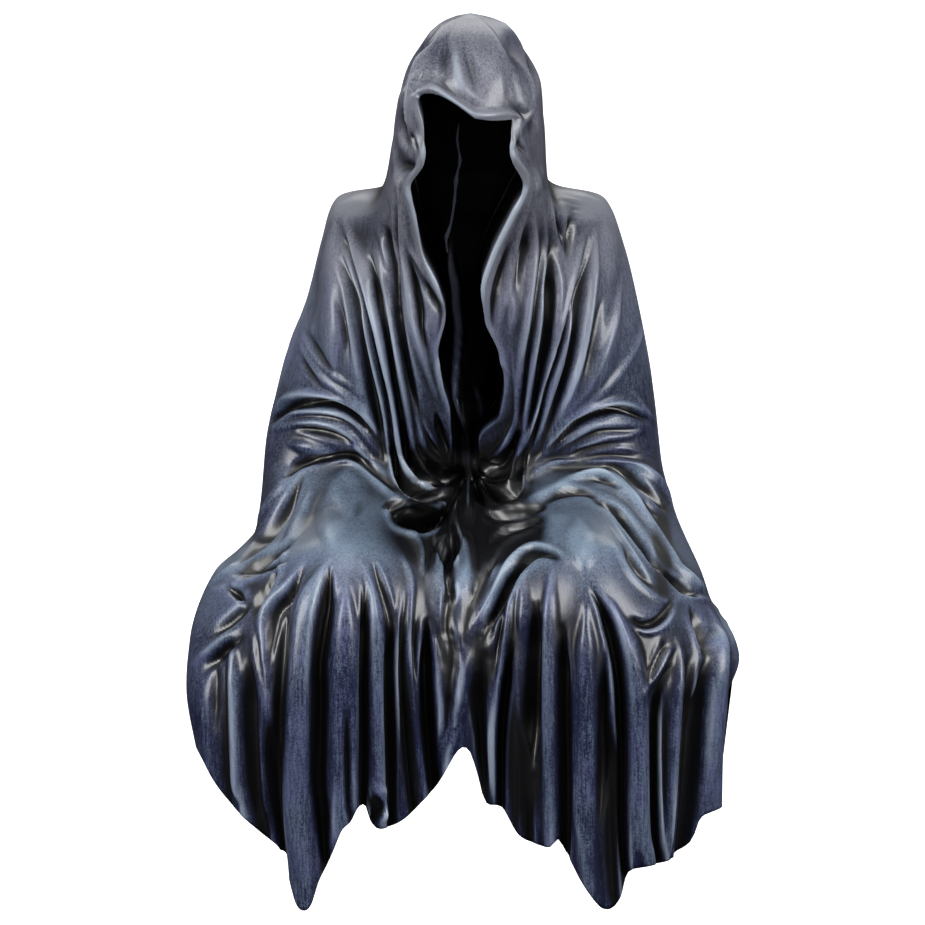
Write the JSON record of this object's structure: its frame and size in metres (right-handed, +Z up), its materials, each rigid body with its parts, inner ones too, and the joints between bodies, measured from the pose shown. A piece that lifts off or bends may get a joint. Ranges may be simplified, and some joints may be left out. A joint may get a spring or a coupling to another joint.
{
  "type": "seated grim reaper statue",
  "caption": "Empty hooded robe seated on a ledge, cloth draped over lap and knees and hanging in folds to a ragged pointed hem; flat seat and flat leg backs",
  "frame": {"origin": "middle of the flat seat underside, at the level of the shelf top", "axes": "X along the shelf edge, +X on the figure's left; -Y the way the figure faces; +Z up, out of the seat; the shelf front is the plane y = -0.058"},
  "size_m": [0.2488, 0.187, 0.3904],
  "materials": {
    "painted_resin": "cast resin painted black, navy and blue-grey dry-brushed over the folds, satin clear coat"
  },
  "bodies": {
    "root": {"seated_reaper": "painted_resin"}
  },
  "joints": []
}
